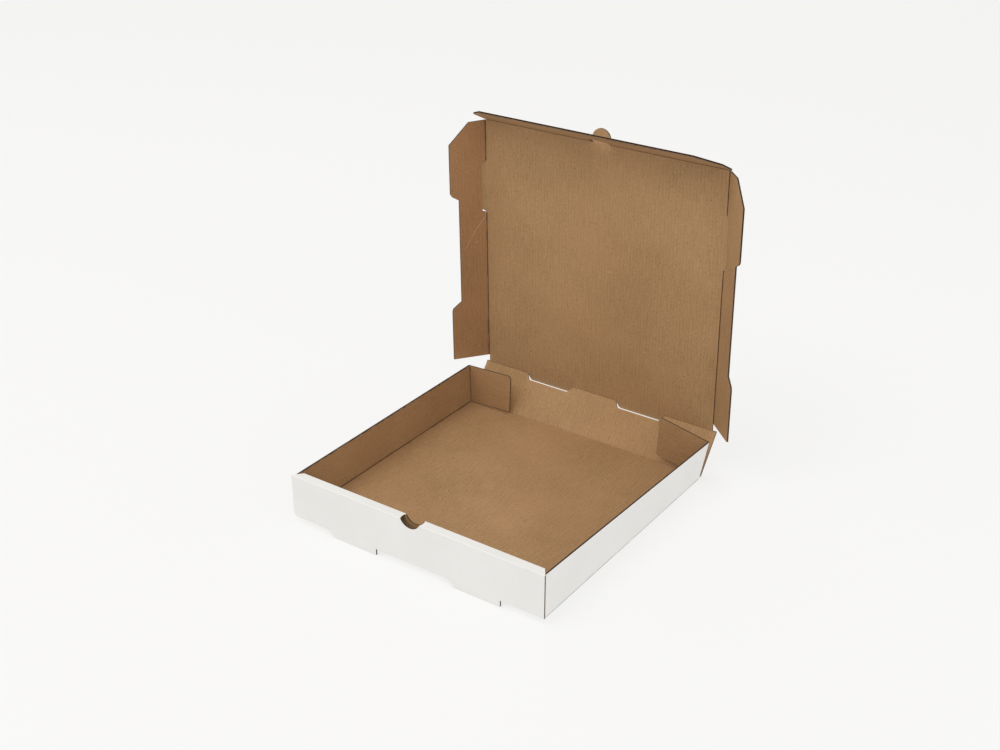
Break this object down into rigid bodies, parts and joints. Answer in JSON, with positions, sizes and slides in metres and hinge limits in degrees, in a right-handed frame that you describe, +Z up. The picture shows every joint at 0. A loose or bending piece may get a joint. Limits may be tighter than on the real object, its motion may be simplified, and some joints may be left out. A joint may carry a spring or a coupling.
{
  "type": "pizza box",
  "caption": "Square corrugated-card pizza box, opened: shallow tray with a double front wall and a hinged lid with folding side and front flaps.",
  "frame": {"origin": "centre of the base's underside", "axes": "+X to the box's right seen from its front, +Y towards the rear wall and lid hinge, +Z up"},
  "size_m": [0.2898, 0.2794, 0.3014],
  "materials": {
    "board": "matt kraft inside, matt white outside",
    "lid_board": "matt kraft inside, matt white outside"
  },
  "bodies": {
    "tray": {"tray": "board"},
    "right_corner_flap": {"right_corner_flap": "board"},
    "rear_wall": {"rear_wall": "board"},
    "lid": {"lid_panel": "lid_board"},
    "lid_front_flap": {"lid_front_flap": "lid_board"},
    "lid_left_flap": {"lid_left_flap": "lid_board"},
    "lid_right_flap": {"lid_right_flap": "lid_board"}
  },
  "joints": [
    {"name": "rear_fold", "type": "hinge", "parent": "tray", "child": "rear_wall", "pos_m": [0, 0.12625, 0.00075], "axis": [1, 0, 0], "range_deg": [-52, 34]},
    {"name": "lid_fold", "type": "hinge", "parent": "rear_wall", "child": "lid", "pos_m": [0, 0.15149, 0.03306], "axis": [1, 0, 0], "range_deg": [-39.2, 52.8]},
    {"name": "lid_front_flap_fold", "type": "hinge", "parent": "lid", "child": "lid_front_flap", "pos_m": [0, 0.14636, 0.27801], "axis": [1, 0, 0], "range_deg": [-62, 28]},
    {"name": "lid_left_flap_fold", "type": "hinge", "parent": "lid", "child": "lid_left_flap", "pos_m": [-0.1221, 0.15149, 0.03306], "axis": [0, -0.0209, 0.9998], "range_deg": [-60, 30]},
    {"name": "lid_right_flap_fold", "type": "hinge", "parent": "lid", "child": "lid_right_flap", "pos_m": [0.12125, 0.15149, 0.03306], "axis": [0, 0.0209, -0.9998], "range_deg": [-45, 45]},
    {"name": "right_corner_press", "type": "hinge", "parent": "tray", "child": "right_corner_flap", "pos_m": [0.125, 0, 0], "axis": [0, -1, 0], "range_deg": [0, 10.3]}
  ]
}
